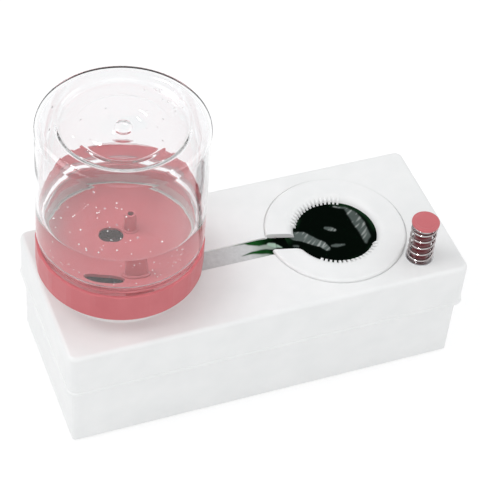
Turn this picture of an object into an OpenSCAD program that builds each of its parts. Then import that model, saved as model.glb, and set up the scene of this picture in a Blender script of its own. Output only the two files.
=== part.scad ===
// Brush washer: a reservoir box with a lift-off lid, an upturned water jar that feeds
// a ribbed rinse dish through a channel, and a sprung button that opens the dish's drain.
// Millimetres. X runs along the box, Y from front to back, Z up from the table.

/* [Box and lid] */
// Length of the lid, end to end
lid_len = 240; // [228:1:270]
// Width of the lid, front to back
lid_wid = 102; // [98:1:114]
// Height of the closed box, from the table to the top of the lid
box_h = 75; // [70:1:90]
// Height of the skirt of the lid
skirt_h = 31; // [24:1:36]
// Wall of the skirt
lid_wall = 2.2; // [1.6:0.1:2.4]
// Thickness of the top deck of the lid
deck_t = 2.6; // [2.2:0.1:3.4]
// Radius of the upright corners of the lid
corner_r = 5; // [5:0.5:9]
// Radius of the top edges of the lid
edge_r = 2.5; // [1.5:0.5:3]
// How far the bead at the foot of the skirt stands out
bead_out = 0.8; // [0.4:0.1:1.2]
// Height of that bead
bead_h = 3; // [2:0.5:4]
// Gap between the skirt and the base box
skirt_gap = 0.4; // [0.3:0.1:0.8]
// Wall of the base box
base_wall = 2.2; // [1.6:0.1:3]
// Floor of the base box
base_floor = 2.4; // [2:0.1:4]
// Radius of the bottom edges of the base box
base_edge_r = 1.6; // [0.8:0.2:2]
// Radius of each rubber foot
foot_r = 6.5; // [4:0.5:9]
// Thickness of each rubber foot
foot_t = 1.6; // [1.2:0.1:1.8]
// How far each foot stands out under the base box
foot_out = 0.6; // [0.3:0.1:0.8]
// Distance of each foot from the end and the side of the base box
foot_inset = 16; // [12:1:24]

/* [Jar seat and channel] */
// How far the rim of the cap reaches past the left end of the lid
cap_past_end = 0.8; // [0:0.1:1.5]
// How far the rim of the cap reaches past the back of the lid
cap_past_back = 1.6; // [0:0.1:2]
// Height of the seat ring above the lid
seat_rise = 9.3; // [6:0.1:12]
// How far the seat ring stays back under the rim of the cap
seat_inset = 7.5; // [5:0.5:9]
// Wall of the seat ring
seat_wall = 4; // [3:0.2:6]
// Depth of the well under the jar, from the top of the lid
well_depth = 8; // [7:0.5:12]
// Wall and floor under the well and the channel
trough_wall = 1.8; // [1.4:0.1:2.4]
// Width of the water channel
channel_w = 14; // [10:0.5:18]
// Depth of the water channel
channel_depth = 6; // [4.5:0.5:7]
// Radius in the bottom corners of the channel
channel_r = 2.5; // [1:0.5:4]
// Place of the channel's middle line, front to back
channel_y = -1.5; // [-4:0.5:4]

/* [Rinse dish] */
// Place of the dish's middle, front to back
dish_y = -0.6; // [-4:0.1:4]
// Radius of the dish's flange
flange_r = 41.4; // [38:0.1:44]
// Height of the flange above the lid
flange_rise = 1.5; // [1:0.1:3]
// Depth of the recess that the flange lies in
flange_sink = 0.8; // [0.4:0.1:1.2]
// Radius of the flange's top edge
flange_edge_r = 1.5; // [0.6:0.1:1.6]
// Radius of the bowl under its flared rim
bowl_r = 24.2; // [20:0.1:26]
// Radius of the bowl's foot
bowl_foot_r = 22; // [16:0.5:23]
// Depth of the bowl, from the top of the flange
bowl_depth = 33; // [28:1:36]
// Radius of the bowl's flared rim
rim_r = 5.5; // [4:0.1:6]
// Radius between the bowl's wall and its floor
bowl_corner_r = 7; // [4:0.5:10]
// Wall of the bowl
bowl_wall = 1.8; // [1.4:0.1:2.4]
// Number of scrubbing ribs in the front group and in the back group
rib_count = 16; // [8:1:18]
// Angle from one rib to the next
rib_step = 6; // [5:0.5:8]
// Height of each rib
rib_h = 1.5; // [0.8:0.1:1.6]
// Width of each rib
rib_w = 1.3; // [0.8:0.1:1.6]
// Radius of the drain hole
drain_r = 6; // [4:0.5:8]
// Fall of the bowl's floor towards the drain
floor_fall = 1.2; // [0.5:0.1:2]
// Length of the drain neck below the floor
drain_neck = 2; // [1:0.5:4]
// Width of the dish's inlet
inlet_w = 12; // [9:0.5:13]
// Angle between the dish's inlet and the channel
inlet_turn = 13.4; // [10:0.2:16]
// Distance of the inlet's middle line from the middle of the dish
inlet_offset = 8.7; // [6:0.1:10]
// Thickness of the seal between channel and dish
inlet_seal_t = 1.2; // [0.8:0.1:2]
// Distance from the flange's edge to that seal
join_inset = 5; // [4:0.5:8]

/* [Button and drain valve] */
// Distance of the button from the right end of the lid
button_from_end = 24.7; // [22:0.1:30]
// How far the button lies in front of the lid's middle line
button_forward = 33.5; // [31:0.1:36]
// Distance from the edge of the flange to the axis of the button
dish_gap = 9.8; // [9.4:0.1:12]
// Radius of the button's head
head_r = 8; // [7.5:0.1:9]
// Thickness of the button's head
head_t = 2; // [1.9:0.1:4]
// Height of the button's top above the lid
button_rise = 28.6; // [24:0.2:36]
// Travel of the button
button_travel = 8; // [5:0.5:10]
// Radius of the button's stem
stem_r = 5.2; // [4.5:0.1:5.4]
// Running gap between stem and bush
bush_gap = 0.06; // [0.02:0.01:0.1]
// Wall of the guide bush
bush_wall = 1.8; // [1.5:0.1:2]
// Length of the guide bush
bush_len = 16; // [14:0.5:20]
// Radius of the bush's flange
bush_flange_r = 8.4; // [8:0.1:9]
// Thickness of the bush's flange
bush_flange_t = 1; // [0.8:0.1:1.4]
// Thickness of the washer under the spring
washer_t = 0.6; // [0.4:0.1:1]
// Diameter of the spring's wire
wire_d = 1.3; // [1:0.1:1.4]
// Radius of the spring, to the middle of its wire
coil_r = 7; // [6.5:0.05:7.2]
// Active turns of the spring
coil_turns = 4.25; // [3:0.25:5]
// Close turns at each end of the spring
end_turns = 0.75; // [0.5:0.25:1]
// Thickness of the drain arm
arm_t = 4; // [3:0.5:5]
// Width of the drain arm
arm_w = 9; // [7:0.5:12]
// Gap from the drain neck down to the plug's flange
plug_gap = 0.3; // [0.2:0.05:0.4]
// Thickness of the plug's flange
plug_t = 2.4; // [1.5:0.1:3]

/* [Jar and cap] */
// Diameter of the jar's screw cap
cap_d = 94; // [86:1:97]
// Height of the cap
cap_h = 18.8; // [15:0.2:20]
// Wall of the cap
cap_wall = 1.8; // [1.4:0.1:2.4]
// Floor of the cap
cap_floor = 2.2; // [1.6:0.1:3]
// Number of flats round the cap
cap_flats = 20; // [12:1:36]
// How deep each flat cuts into the round
flat_depth = 0.35; // [0.2:0.05:0.5]
// Height of the jar's base above the cap's underside
jar_rise = 104.3; // [90:0.1:140]
// How much narrower the jar's body is than the cap, on the radius
body_inset = 0.3; // [0.1:0.1:2]
// Wall of the jar
jar_wall = 1.8; // [1:0.1:2.4]
// Gap between the jar's neck and the cap
thread_gap = 1.4; // [1:0.1:2]
// Height of the jar's shoulder above the cap's underside
shoulder_rise = 23.8; // [23.6:0.2:30]
// Radius of the shoulder
shoulder_r = 2.4; // [1.5:0.1:4]
// Radius of the jar's heel
heel_r = 4; // [3:0.5:6]
// Depth of the dome in the jar's base
dome_h = 3.1; // [2.5:0.1:4.5]
// Radius of that dome
dome_r = 34.2; // [28:0.2:36]
// Thickness of the seal in the cap
cap_seal_t = 1.2; // [0.8:0.1:2]
// Length of the cap's outlet opening
outlet_len = 14; // [11:0.5:16]
// Width of the cap's outlet opening
outlet_w = 10.5; // [8:0.5:12]
// Height of the air tube inside the jar, above the cap's floor
tube_h = 18; // [12:1:30]
// Radius of the air tube at its foot
tube_r = 3.7; // [3.4:0.1:4.3]
// Radius of the air tube at its top
tube_tip_r = 3; // [2.8:0.1:3.4]
// Radius of the air tube's bore
tube_bore_r = 1.8; // [1.4:0.1:2.1]
// Depth of the water level under the top of the lid, set by the cap's ring and the tube
tube_dip = 2; // [1.4:0.2:3]

/* [Hidden] */
$fn = 96;

// Colours
white_plastic = [0.94, 0.94, 0.93];
white_bush = [0.86, 0.87, 0.88];
rose_plastic = [0.75, 0.38, 0.41];
clear_plastic = [0.85, 0.9, 0.92, 0.35];
silicone = [0.82, 0.8, 0.78];
dark_rubber = [0.2, 0.2, 0.21];
steel = [0.75, 0.76, 0.78];

// Clearances and small sizes
over = 1;
seat_gap = 0.2;
fit_gap = 0.3;
press_gap = 0.02;

// Levels and sizes of the box
deck_z = box_h - deck_t;
base_l = lid_len - 2 * (lid_wall + skirt_gap);
base_w = lid_wid - 2 * (lid_wall + skirt_gap);
base_r = corner_r - lid_wall - skirt_gap;
base_h = deck_z - seat_gap - foot_out;
base_inner_r = max(1, base_r - base_wall);

// Places on the lid
cap_r = cap_d / 2;
jar_x = -lid_len / 2 - cap_past_end + cap_r;
jar_y = lid_wid / 2 + cap_past_back - cap_r;
button_x = lid_len / 2 - button_from_end;
button_y = -button_forward;
dish_x = button_x - sqrt(pow(flange_r + dish_gap, 2) - pow(dish_y - button_y, 2));

// Levels under the jar
seat_r = cap_r - seat_inset;
well_r = seat_r - seat_wall;
well_z = box_h - well_depth;
seat_z = box_h + seat_rise;
cap_z = seat_z + seat_gap;
cap_inner_r = cap_r - cap_wall;
cap_floor_z = cap_z + cap_floor;
spigot_r = well_r - 2 * fit_gap;
spigot_h = cap_z - box_h + tube_dip;
spigot_wall = 1.9;
lip_z = cap_floor_z + cap_seal_t;
neck_r = cap_inner_r - thread_gap;
body_r = cap_r - body_inset;
shoulder_z = cap_z + shoulder_rise;
jar_top_z = cap_z + jar_rise;

// Places of the outlet and the air tube, from the middle of the cap
outlet_at = [-4.2, 3.2];
outlet_angle = -18;
tube_at = [7.4, 5.1];

// Channel and dish
channel_z = box_h - channel_depth;
dish_top = box_h + flange_rise;
flange_z = box_h - flange_sink;
flange_gap = 0.6;
dish_hole_r = bowl_r + rim_r + fit_gap;
bowl_z = dish_top - bowl_depth;
drain_z = bowl_z - floor_fall - bowl_wall - drain_neck;

// Places along the inlet, from the middle of the dish
join_x = join_inset - flange_r;
inlet_end = 2 * rib_h - sqrt(pow(bowl_foot_r, 2) - pow(inlet_offset + inlet_w / 2, 2));
channel_end = dish_x - flange_r + 2;

// First angle of each group of ribs
rib_starts = [230, 64];

// Button parts
head_z = box_h + button_rise - head_t;
bush_r = stem_r + bush_gap + bush_wall;
bush_z = box_h - bush_len;
boss_r = bush_r + 3;
plug_z = drain_z - plug_gap - plug_t;
arm_z = plug_z - arm_t;
arm_boss_h = 8;
stem_z = arm_z + 3;
clip_t = 0.9;
clip_z = bush_z - fit_gap - clip_t;
groove_r = stem_r - 0.9;
spigot_top_r = 3.2;
spigot_top_h = 1.2;
key_w = 1.6;
key_out = 0.9;
screw_r = 1.5;

// Points on an arc about c, with the given radius, from angle a to angle b
function arc(c, r, a, b, n = 8) = [
    for (i = [0 : n]) c + r * [cos(a + (b - a) * i / n), sin(a + (b - a) * i / n)]
];

// Plan outline of a box with round corners
module rounded_plan(l, w, r) {
    square([l - 2 * r, w], center = true);
    square([l, w - 2 * r], center = true);
    for (sx = [-1, 1], sy = [-1, 1])
        translate([sx * (l / 2 - r), sy * (w / 2 - r)])
            circle(r);
}

// Upright section of a box with round top edges
module top_profile(w, h, r) {
    translate([-w / 2, 0])
        square([w, h - r]);
    translate([-w / 2 + r, 0])
        square([w - 2 * r, h]);
    for (s = [-1, 1])
        translate([s * (w / 2 - r), h - r])
            circle(r);
}

// Solid box with round upright corners and round top edges
module moulded_box(l, w, h, rc, rt) {
    for (sx = [-1, 1], sy = [-1, 1])
        translate([sx * (l / 2 - rc), sy * (w / 2 - rc), 0])
            rotate_extrude()
                intersection() {
                    top_profile(2 * rc, h, rt);
                    square([rc, h]);
                }
    translate([rc - l / 2, 0, 0])
        rotate([90, 0, 90])
            linear_extrude(l - 2 * rc)
                top_profile(w, h, rt);
    translate([0, w / 2 - rc, 0])
        rotate([90, 0, 0])
            linear_extrude(w - 2 * rc)
                top_profile(l, h, rt);
}

// Carries a section round the outline of a box; x = 0 lies on the wall
module swept_round(l, w, r) {
    for (k = [0 : 3]) {
        half_x = (k % 2 == 0 ? l : w) / 2;
        half_y = (k % 2 == 0 ? w : l) / 2;
        rotate([0, 0, 90 * k]) {
            translate([half_x - r, half_y - r, 0])
                rotate_extrude(angle = 90)
                    translate([r, 0])
                        children();
            translate([half_x, half_y - r, 0])
                rotate([90, 0, 0])
                    linear_extrude(2 * (half_y - r))
                        children();
        }
    }
}

// Section of a trough with round bottom corners, open side up, middle at x = 0
module trough_section(w, bottom, top, r) {
    translate([-w / 2, bottom + r])
        square([w, top - bottom - r]);
    translate([-w / 2 + r, bottom])
        square([w - 2 * r, r + over]);
    for (s = [-1, 1])
        translate([s * (w / 2 - r), bottom + r])
            circle(r);
}

// Straight run of a trough section along X
module trough(x0, x1, w, bottom, top, r) {
    translate([x0, 0, 0])
        rotate([90, 0, 90])
            linear_extrude(x1 - x0)
                trough_section(w, bottom, top, r);
}

// Flat ring
module ring(r_out, r_in, h) {
    difference() {
        cylinder(r = r_out, h = h);
        translate([0, 0, -over])
            cylinder(r = r_in, h = h + 2 * over);
    }
}

module at_jar() {
    translate([jar_x, jar_y, 0])
        children();
}

module at_dish() {
    translate([dish_x, dish_y, 0])
        children();
}

module at_channel() {
    translate([0, channel_y, 0])
        children();
}

// Frame of the dish's inlet: X runs along it, from the middle of the dish
module at_inlet() {
    at_dish()
        rotate([0, 0, -inlet_turn])
            translate([0, -inlet_offset, 0])
                children();
}

module at_button() {
    translate([button_x, button_y, 0])
        children();
}

// Place of one rubber foot, numbered from the front left
module at_foot(i) {
    sx = i % 2 == 1 ? -1 : 1;
    sy = i <= 2 ? -1 : 1;
    translate([sx * (base_l / 2 - foot_inset), sy * (base_w / 2 - foot_inset), 0])
        children();
}

// Reservoir that takes the dirty water
module base_box() {
    color(white_plastic)
        difference() {
            translate([0, 0, foot_out + base_h])
                mirror([0, 0, 1])
                    moulded_box(base_l, base_w, base_h, base_r, min(base_edge_r, 0.9 * base_r));
            translate([0, 0, foot_out + base_h + over])
                mirror([0, 0, 1])
                    moulded_box(
                        base_l - 2 * base_wall, base_w - 2 * base_wall,
                        base_h - base_floor + over, base_inner_r, 0.8 * base_inner_r
                    );
            for (i = [1 : 4])
                at_foot(i)
                    cylinder(r = foot_r + press_gap, h = foot_t);
        }
}

// Rubber pad let into the underside of the base box
module foot(i) {
    chamfer = 0.4;
    color(dark_rubber)
        at_foot(i)
            rotate_extrude()
                polygon([
                    [0, 0], [foot_r - chamfer, 0], [foot_r, chamfer], [foot_r, foot_t], [0, foot_t]
                ]);
}

// Shell of the lid with the bead at the foot of its skirt
module lid_shell() {
    translate([0, 0, box_h - skirt_h]) {
        difference() {
            moulded_box(lid_len, lid_wid, skirt_h, corner_r, edge_r);
            translate([0, 0, -over])
                linear_extrude(skirt_h - deck_t + over)
                    rounded_plan(
                        lid_len - 2 * lid_wall, lid_wid - 2 * lid_wall,
                        max(1, corner_r - lid_wall)
                    );
        }
        swept_round(lid_len, lid_wid, corner_r)
            translate([bead_out - bead_h / 2, bead_h / 2])
                circle(bead_h / 2);
    }
}

// Lid: deck, jar seat with its well, water channel, dish opening and button boss
module lid() {
    well_bottom = well_z - trough_wall;
    nose = 6;
    color(white_plastic)
        difference() {
            union() {
                lid_shell();
                at_jar() {
                    translate([0, 0, well_bottom])
                        cylinder(r = well_r + trough_wall, h = deck_z - well_bottom + over);
                    translate([0, 0, deck_z])
                        cylinder(r = seat_r, h = seat_z - deck_z);
                }
                at_channel()
                    trough(
                        jar_x + well_r, channel_end + trough_wall,
                        channel_w + 2 * trough_wall,
                        channel_z - trough_wall, deck_z + over, channel_r
                    );
                at_inlet()
                    trough(
                        join_x - nose, join_x, inlet_w + 2 * trough_wall,
                        channel_z - 1.5 * trough_wall, deck_z + over, channel_r
                    );
                at_dish()
                    translate([0, 0, deck_z - 2])
                        ring(dish_hole_r + trough_wall, dish_hole_r, 2 + over);
                at_button()
                    translate([0, 0, bush_z])
                        cylinder(r = boss_r, h = deck_z - bush_z + over);
            }
            at_jar()
                translate([0, 0, well_z])
                    cylinder(r = well_r, h = seat_z - well_z + over);
            at_channel()
                trough(
                    jar_x + well_r - seat_wall, channel_end, channel_w,
                    channel_z, seat_z + over, channel_r
                );
            at_inlet() {
                trough(
                    join_x - nose + trough_wall, join_x + over, inlet_w,
                    channel_z, seat_z, channel_r
                );
                trough(
                    join_x, inlet_end, inlet_w + 2 * (trough_wall + fit_gap),
                    channel_z - 2 * trough_wall, seat_z, channel_r
                );
            }
            at_dish() {
                translate([0, 0, deck_z - 2 - over])
                    cylinder(r = dish_hole_r, h = deck_t + 2 + 2 * over);
                translate([0, 0, flange_z])
                    cylinder(r = flange_r + flange_gap, h = flange_sink + over);
            }
            at_button() {
                translate([0, 0, bush_z - over])
                    cylinder(r = bush_r + press_gap, h = bush_len + 2 * over);
                translate([0, 0, box_h - bush_flange_t])
                    cylinder(r = bush_flange_r + press_gap, h = bush_flange_t + over);
            }
        }
}

// Bush that guides the button's stem through the lid, with a slot for the stem's key
module guide_bush() {
    color(white_bush)
        at_button()
            difference() {
                union() {
                    translate([0, 0, bush_z])
                        cylinder(r = bush_r, h = bush_len);
                    translate([0, 0, box_h - bush_flange_t])
                        cylinder(r = bush_flange_r, h = bush_flange_t);
                }
                translate([0, 0, bush_z - over])
                    cylinder(r = stem_r + bush_gap, h = bush_len + 2 * over);
                translate([0, -key_w / 2 - fit_gap, bush_z - over])
                    cube([
                        stem_r + key_out + fit_gap, key_w + 2 * fit_gap, bush_len - bush_flange_t + over
                    ]);
            }
}

// Flat washer that the spring stands on
module spring_washer() {
    color(steel)
        at_button()
            translate([0, 0, box_h])
                ring(coil_r + wire_d, stem_r + fit_gap, washer_t);
}

// Inside of the bowl, with its flared rim and the drain
module bowl_cavity() {
    rotate_extrude()
        polygon(concat(
            [[0, dish_top + over], [bowl_r + rim_r, dish_top + over]],
            arc([bowl_r + rim_r, dish_top - rim_r], rim_r, 90, 180, 10),
            arc([bowl_foot_r - bowl_corner_r, bowl_z + bowl_corner_r], bowl_corner_r, 0, -90),
            [
                [drain_r, bowl_z - floor_fall],
                [drain_r, drain_z + drain_neck],
                [drain_r + drain_neck + over, drain_z - over],
                [0, drain_z - over]
            ]
        ));
}

// Outside of the dish: flange, collar that drops into the lid, bowl and drain neck
module dish_body() {
    collar_r = dish_hole_r - fit_gap;
    neck = drain_r + drain_neck + bowl_wall;
    rotate_extrude()
        polygon(concat(
            [[0, dish_top]],
            arc([flange_r - flange_edge_r, dish_top - flange_edge_r], flange_edge_r, 90, 0),
            [
                [flange_r, flange_z], [collar_r, flange_z], [collar_r, deck_z],
                [bowl_r + bowl_wall, deck_z - collar_r + bowl_r + bowl_wall]
            ],
            arc(
                [bowl_foot_r - bowl_corner_r, bowl_z + bowl_corner_r],
                bowl_corner_r + bowl_wall, 0, -90
            ),
            [[neck, bowl_z - bowl_wall - floor_fall / 2], [neck, drain_z], [0, drain_z]]
        ));
}

// One scrubbing rib, which rises out of the rim and follows the wall of the bowl
module bowl_rib() {
    spread = 2 * asin(rib_w / 2 / bowl_r);
    start = 108;
    rise = 40;
    sink = 0.4;
    rim = [bowl_r + rim_r, dish_top - rim_r];
    foot_z = bowl_z + bowl_corner_r;
    rotate([0, 0, -spread / 2])
        rotate_extrude(angle = spread)
            polygon(concat(
                [for (a = [start : 18 : 180])
                    rim + (rim_r - sink + (rib_h + sink) * min(1, (a - start) / rise))
                    * [cos(a), sin(a)]],
                [[bowl_foot_r - rib_h, foot_z + 3], [bowl_foot_r + bowl_wall / 2, foot_z + 0.5]],
                [for (a = [180 : -18 : start])
                    rim + (rim_r - bowl_wall / 2) * [cos(a), sin(a)]]
            ));
}

// Lift-out rinse dish with its two groups of ribs, its inlet trough and its drain
module rinse_dish() {
    inlet_x = join_x + seat_gap + inlet_seal_t;
    color(white_plastic)
        difference() {
            union() {
                difference() {
                    union() {
                        at_dish()
                            dish_body();
                        at_inlet()
                            trough(
                                inlet_x, -bowl_foot_r / 2, inlet_w + 2 * trough_wall,
                                channel_z - trough_wall, flange_z + fit_gap, channel_r
                            );
                    }
                    at_dish()
                        bowl_cavity();
                }
                at_dish()
                    for (start = rib_starts, i = [0 : rib_count - 1])
                        rotate([0, 0, start + i * rib_step])
                            bowl_rib();
            }
            at_inlet()
                trough(
                    -flange_r - over, inlet_end, inlet_w,
                    channel_z, dish_top + over, channel_r
                );
        }
}

// Soft seal between the lid's end of the inlet and the dish
module inlet_seal() {
    x0 = join_x + seat_gap;
    color(silicone)
        at_inlet()
            difference() {
                trough(
                    x0, x0 + inlet_seal_t, inlet_w + 2 * trough_wall,
                    channel_z - trough_wall, flange_z, channel_r
                );
                trough(
                    x0 - over, x0 + inlet_seal_t + over, inlet_w,
                    channel_z, flange_z + over, channel_r
                );
            }
}

// Button head with a shallow finger dish
module button_head() {
    round_r = 0.8;
    dip = 0.3;
    color(rose_plastic)
        at_button()
            translate([0, 0, head_z])
                difference() {
                    rotate_extrude()
                        polygon(concat(
                            [[0, 0]],
                            arc([head_r - round_r / 2, round_r / 2], round_r / 2, -90, 0, 4),
                            arc([head_r - round_r, head_t - round_r], round_r, 0, 90, 6),
                            [[head_r - 2 * round_r, head_t], [head_r - 3 * round_r, head_t - dip]],
                            [[0, head_t - dip]]
                        ));
                    translate([0, 0, -over])
                        cylinder(r = spigot_top_r + press_gap, h = spigot_top_h + over);
                }
}

// Stem with its top spigot, the clip's groove and the key that stops it turning
module button_stem() {
    key_z = bush_z - button_travel;
    key_top = box_h - bush_flange_t - fit_gap;
    color(rose_plastic)
        at_button()
            difference() {
                union() {
                    translate([0, 0, stem_z])
                        cylinder(r = stem_r, h = head_z - stem_z);
                    translate([0, 0, head_z])
                        cylinder(r = spigot_top_r, h = spigot_top_h);
                    translate([0, -key_w / 2, key_z])
                        cube([stem_r + key_out, key_w, key_top - key_z]);
                }
                translate([0, 0, clip_z])
                    ring(stem_r + key_out + over, groove_r, clip_t);
                translate([0, 0, stem_z - over])
                    cylinder(r = screw_r + press_gap, h = 12);
            }
}

// Open ring clip that holds the stem under the bush
module stem_clip() {
    gap_angle = 60;
    color(steel)
        at_button()
            translate([0, 0, clip_z])
                rotate([0, 0, gap_angle / 2])
                    rotate_extrude(angle = 360 - gap_angle)
                        translate([groove_r + press_gap, 0])
                            square([bush_r + 1 - groove_r, clip_t]);
}

// Arm that carries the plug from the stem to the drain
module drain_arm() {
    reach = [dish_x - button_x, dish_y - button_y];
    rib_d = 3;
    plug_boss_r = 7;
    color(white_bush)
        at_button()
            difference() {
                rotate([0, 0, atan2(reach.y, reach.x)]) {
                    translate([0, 0, arm_z])
                        cylinder(r = stem_r + 2.4, h = arm_boss_h);
                    translate([0, -arm_w / 2, arm_z])
                        cube([norm(reach), arm_w, arm_t]);
                    translate([stem_r, -1, arm_z - rib_d])
                        cube([norm(reach) - stem_r - plug_boss_r, 2, rib_d + over]);
                    translate([norm(reach), 0, arm_z])
                        cylinder(r = plug_boss_r, h = arm_t);
                }
                translate([0, 0, stem_z])
                    cylinder(r = stem_r + press_gap, h = arm_boss_h);
                translate([0, 0, arm_z - over])
                    cylinder(r = screw_r + press_gap, h = arm_t + over);
                translate([reach.x, reach.y, arm_z - over])
                    cylinder(r = 2.6, h = arm_t + 2 * over);
            }
}

// Screw that holds the arm to the stem
module arm_screw() {
    color(steel)
        at_button() {
            translate([0, 0, arm_z - 2])
                difference() {
                    cylinder(r = 3, h = 2);
                    translate([0, 0, -over])
                        cylinder(r = 1.4, h = 1.2 + over, $fn = 6);
                }
            translate([0, 0, arm_z])
                cylinder(r = screw_r, h = 11);
        }
}

// Soft plug: cone that closes the drain, flange, and the barb that holds it in the arm
module drain_plug() {
    barb_r = 3.6;
    neck = 2.6 - press_gap;
    cone_r = drain_r + drain_neck - plug_gap;
    color(dark_rubber)
        at_dish()
            rotate_extrude()
                polygon([
                    [0, arm_z - 3], [neck - 1, arm_z - 3], [barb_r, arm_z - 0.6],
                    [barb_r, arm_z], [neck, arm_z], [neck, plug_z],
                    [cone_r + plug_gap, plug_z], [cone_r + plug_gap, plug_z + plug_t - 0.6],
                    [cone_r, plug_z + plug_t],
                    [drain_r - 2 * plug_gap, drain_z + drain_neck],
                    [drain_r - 2 * plug_gap - 1, drain_z + drain_neck + 0.6],
                    [0, drain_z + drain_neck + 0.6]
                ]);
}

// Return spring: one wire wound in a helix with close end turns
spring_z = box_h + washer_t + wire_d / 2 + 0.05;
spring_top = head_z - wire_d / 2 - 0.05;
end_pitch = wire_d + 0.55;
active_pitch = (spring_top - spring_z - 2 * end_turns * end_pitch) / coil_turns;
all_turns = coil_turns + 2 * end_turns;
coil_steps = 8;
wire_sides = 6;
ring_total = floor(all_turns * coil_steps) + 1;

// Height of the wire's middle after t turns
function coil_z(t) =
    t < end_turns ? spring_z + t * end_pitch
    : t > all_turns - end_turns ? spring_top - (all_turns - t) * end_pitch
    : spring_z + end_turns * end_pitch + (t - end_turns) * active_pitch;
function coil_point(i) =
    let (t = i / coil_steps)
    [coil_r * cos(360 * t), coil_r * sin(360 * t), coil_z(t)];
function wire_point(i, j) =
    let (t = i / coil_steps, a = 360 * j / wire_sides)
    let (out = coil_r + wire_d / 2 * cos(a))
    [out * cos(360 * t), out * sin(360 * t), coil_z(t) + wire_d / 2 * sin(a)];

spring_gaps = [
    for (i = [0 : ring_total - 1], j = [i + coil_steps / 2 : ring_total - 1])
        norm(coil_point(i) - coil_point(j)) - wire_d
];
echo("least gap of the spring to itself, mm", min(spring_gaps));

module return_spring() {
    last = (ring_total - 1) * wire_sides;
    sides = [
        for (i = [0 : ring_total - 2], j = [0 : wire_sides - 1])
            let (a = i * wire_sides + j, b = i * wire_sides + (j + 1) % wire_sides)
            each [[a, a + wire_sides, b], [b, a + wire_sides, b + wire_sides]]
    ];
    start_cap = [for (j = [1 : wire_sides - 2]) [0, j, j + 1]];
    end_cap = [for (j = [1 : wire_sides - 2]) [last, last + j + 1, last + j]];
    color(steel)
        at_button()
            polyhedron(
                points = [
                    for (i = [0 : ring_total - 1], j = [0 : wire_sides - 1]) wire_point(i, j)
                ],
                faces = concat(sides, start_cap, end_cap)
            );
}

// Outline of the outlet opening
module outlet_plan() {
    square([outlet_len - outlet_w, outlet_w], center = true);
    for (s = [-1, 1])
        translate([s * (outlet_len - outlet_w) / 2, 0])
            circle(outlet_w / 2);
}

// Screw cap of the jar, with flats, a locating spigot, the outlet and the tube's hole
module jar_cap() {
    foot_round = 2;
    edge = 0.6;
    color(rose_plastic)
        difference() {
            at_jar() {
                intersection() {
                    rotate_extrude()
                        polygon(concat(
                            [[0, cap_z]],
                            arc([cap_r - foot_round, cap_z + foot_round], foot_round, -90, 0),
                            [
                                [cap_r, cap_z + cap_h - edge], [cap_r - edge, cap_z + cap_h],
                                [cap_inner_r, cap_z + cap_h], [cap_inner_r, cap_floor_z],
                                [0, cap_floor_z]
                            ]
                        ));
                    linear_extrude(cap_z + cap_h + over)
                        polygon([
                            for (i = [0 : cap_flats - 1])
                                (cap_r - flat_depth) / cos(180 / cap_flats)
                                * [cos(360 * i / cap_flats), sin(360 * i / cap_flats)]
                        ]);
                }
                translate([0, 0, cap_z - spigot_h])
                    ring(spigot_r, spigot_r - spigot_wall, spigot_h + cap_floor / 2);
            }
            at_jar() {
                translate([outlet_at.x, outlet_at.y, cap_z - over])
                    rotate([0, 0, outlet_angle])
                        linear_extrude(cap_floor + 2 * over)
                            outlet_plan();
                translate([tube_at.x, tube_at.y, cap_z - over])
                    cylinder(r = tube_r - 0.4, h = cap_floor + 2 * over);
            }
        }
}

// Soft ring that seals the jar's lip in the cap
module cap_seal() {
    color(silicone)
        at_jar()
            translate([0, 0, cap_floor_z])
                ring(cap_inner_r - press_gap, neck_r - jar_wall - 0.6, cap_seal_t);
}

// Air tube that stands in the cap; its lower end sets the water level
module air_tube() {
    flange_out = 0.8;
    shank_r = tube_r - 0.4 - press_gap;
    end_z = box_h - tube_dip;
    color(rose_plastic)
        at_jar()
            translate([tube_at.x, tube_at.y, 0])
                difference() {
                    rotate_extrude()
                        polygon([
                            [0, end_z], [shank_r, end_z], [shank_r, cap_floor_z],
                            [tube_r + flange_out, cap_floor_z],
                            [tube_r + flange_out, cap_floor_z + 1],
                            [tube_r, cap_floor_z + 1.6], [tube_tip_r, cap_floor_z + tube_h],
                            [0, cap_floor_z + tube_h]
                        ]);
                    translate([0, 0, end_z - over])
                        cylinder(r = tube_bore_r, h = cap_floor_z + tube_h - end_z + 2 * over);
                }
}

// Outline of the jar from its lip to the middle of its base, drawn in by t
module jar_outline(t) {
    bead_z = cap_z + cap_h + 2.6;
    bead_r = neck_r + 1.6;
    heel = heel_r - t / 2;
    polygon(concat(
        [[0, lip_z - (t > 0 ? over : 0)], [neck_r - t, lip_z - (t > 0 ? over : 0)]],
        t > 0 ? [] : arc([bead_r - 0.9, bead_z], 0.9, -90, 90, 6),
        [[neck_r - t, shoulder_z]],
        arc([body_r - t - shoulder_r, shoulder_z + shoulder_r + t / 2], shoulder_r, -90, 0),
        arc([body_r - t - heel, jar_top_z - t - heel], heel, 0, 90),
        arc([dome_r + 2 + t / 2, jar_top_z - t - 2], 2, 90, 150, 5),
        [
            [dome_r - 0.4, jar_top_z - t - dome_h + 0.6],
            [dome_r - 2, jar_top_z - t - dome_h],
            [dome_r - 8, jar_top_z - t - dome_h - 0.6],
            [dome_r - 9, jar_top_z - t - dome_h],
            [5, jar_top_z - t - dome_h - 0.4],
            [4, jar_top_z - t - dome_h + 0.5],
            [0, jar_top_z - t - dome_h + 0.5]
        ]
    ));
}

// Clear jar, standing on its mouth
module water_jar() {
    color(clear_plastic)
        at_jar()
            rotate_extrude()
                difference() {
                    jar_outline(0);
                    jar_outline(jar_wall);
                }
}

base_box();
for (i = [1 : 4])
    foot(i);
lid();
guide_bush();
spring_washer();
rinse_dish();
inlet_seal();
button_head();
button_stem();
stem_clip();
drain_arm();
arm_screw();
drain_plug();
return_spring();
jar_cap();
cap_seal();
air_tube();
water_jar();
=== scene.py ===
import math
import random

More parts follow.
